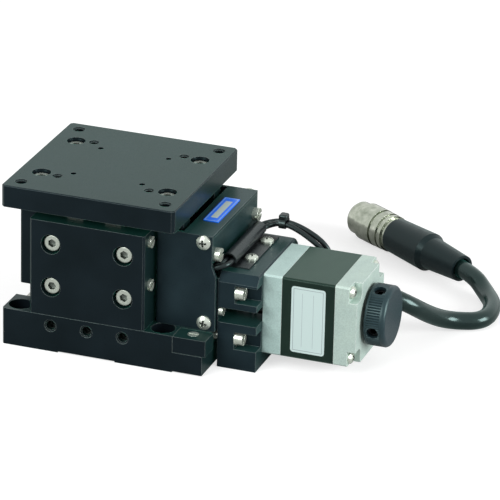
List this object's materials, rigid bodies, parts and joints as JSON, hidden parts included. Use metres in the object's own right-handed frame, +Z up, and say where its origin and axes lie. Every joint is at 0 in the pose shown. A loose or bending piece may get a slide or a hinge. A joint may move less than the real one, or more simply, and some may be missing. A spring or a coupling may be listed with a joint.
{
  "type": "motorised vertical wedge stage",
  "caption": "Compact motorised height-adjusting stage: square table with tapped holes, crossed-roller wedge lift, stepping motor, hand knob and cable.",
  "frame": {"origin": "centre of the four base bolt holes on the mounting face, under the table centre", "axes": "+X towards the motor and hand knob, +Y towards the cable side, +Z up, the way the table lifts"},
  "size_m": [0.147, 0.1369, 0.0563],
  "materials": {
    "anodised": "black anodised",
    "wedge_steel": "ground",
    "guide_steel": "hardened and ground",
    "roller_steel": "polished",
    "nickel_screw": "nickel plated",
    "bronze": "turned",
    "screw_steel": "ground",
    "coupling_aluminium": "turned",
    "motor_cast": "die cast, satin",
    "motor_stack": "dark lacquered laminations",
    "motor_rotor_steel": "ground",
    "knob_anodised": "dark anodised, knurled",
    "label_film": "printed film",
    "blue_plate": "printed",
    "circuit_board": "solder mask",
    "sensor_plastic": "moulded",
    "clamp_steel": "nickel plated sheet",
    "nylon": "moulded",
    "lead_jacket": "vinyl",
    "cable_jacket": "glossy vinyl",
    "boot_plastic": "moulded",
    "connector_nickel": "nickel plated",
    "insert_plastic": "moulded"
  },
  "bodies": {
    "base": {"base_plate": "anodised", "corner_block": "anodised", "corner_block_screw": "nickel_screw", "front_guide_wall": "anodised", "rear_guide_wall": "anodised", "wall_rails": "guide_steel", "base_rails": "guide_steel", "base_rail_screws": "nickel_screw", "wall_guide_screws": "nickel_screw", "wall_foot_screws": "nickel_screw", "preload_screws": "nickel_screw", "bearing_housing": "anodised", "sensor_cover": "anodised", "cover_screws": "nickel_screw", "housing_end_plate": "anodised", "end_plate_screws": "nickel_screw", "sensor_board": "circuit_board", "limit_sensors": "sensor_plastic", "screw_bearings": "guide_steel", "maker_plate": "blue_plate", "motor_bracket": "anodised", "bracket_screws": "nickel_screw", "slot_screw": "nickel_screw", "motor_flange": "motor_cast", "motor_stator": "motor_stack", "motor_end_cap": "motor_cast", "motor_bearings": "guide_steel", "motor_through_screws": "nickel_screw", "motor_label": "label_film", "cable_clamp": "clamp_steel", "clamp_screws": "nickel_screw", "cable_tie": "nylon", "upper_lead": "lead_jacket", "lower_lead": "lead_jacket", "lead_sleeve": "lead_jacket", "main_cable": "cable_jacket", "connector_boot": "boot_plastic", "connector_shell": "connector_nickel", "connector_insert": "insert_plastic"},
    "wedge": {"wedge": "wedge_steel", "wedge_base_rails": "guide_steel", "wedge_rail_screws": "nickel_screw", "wedge_incline_rails": "guide_steel", "screw_nut": "bronze"},
    "table": {"table_plate": "anodised", "table_screws": "nickel_screw", "lifting_block": "anodised", "block_wall_rails": "guide_steel", "block_rail_screws": "nickel_screw", "block_incline_rails": "guide_steel", "sensor_dog": "nickel_screw"},
    "screw": {"lead_screw": "screw_steel", "screw_locknut": "screw_steel", "coupling": "coupling_aluminium", "motor_rotor": "motor_rotor_steel", "hand_knob": "knob_anodised", "knob_set_screws": "nickel_screw"},
    "wall_cages": {"wall_roller_cages": "roller_steel"},
    "base_cage": {"base_roller_cages": "roller_steel"},
    "incline_cage": {"incline_roller_cages": "roller_steel"}
  },
  "joints": [
    {"name": "screw_turn", "type": "hinge", "parent": "base", "child": "screw", "pos_m": [0, 0, 0.0186], "axis": [1, 0, 0], "range_deg": [-720.5, 5040.5]},
    {"name": "wedge_slide", "type": "slide", "parent": "base", "child": "wedge", "axis": [1, 0, 0], "range_m": [-0.014, 0.002]},
    {"name": "table_lift", "type": "slide", "parent": "base", "child": "table", "axis": [0, 0, 1], "range_m": [-0.001, 0.007]},
    {"name": "wall_cage_travel", "type": "slide", "parent": "base", "child": "wall_cages", "axis": [0, 0, 1], "range_m": [-0.0005, 0.0035]},
    {"name": "base_cage_travel", "type": "slide", "parent": "base", "child": "base_cage", "axis": [1, 0, 0], "range_m": [-0.007, 0.001]},
    {"name": "incline_cage_travel", "type": "slide", "parent": "wedge", "child": "incline_cage", "axis": [0.8944, 0, 0.4472], "range_m": [-0.00112, 0.00783]}
  ],
  "couplings": [
    {"joint": "screw_turn", "follows": "table_lift", "rad_per_m": 12566},
    {"joint": "wedge_slide", "follows": "table_lift", "ratio": -2},
    {"joint": "wall_cage_travel", "follows": "table_lift", "ratio": 0.5},
    {"joint": "base_cage_travel", "follows": "table_lift", "ratio": -1},
    {"joint": "incline_cage_travel", "follows": "table_lift", "ratio": 1.118}
  ]
}
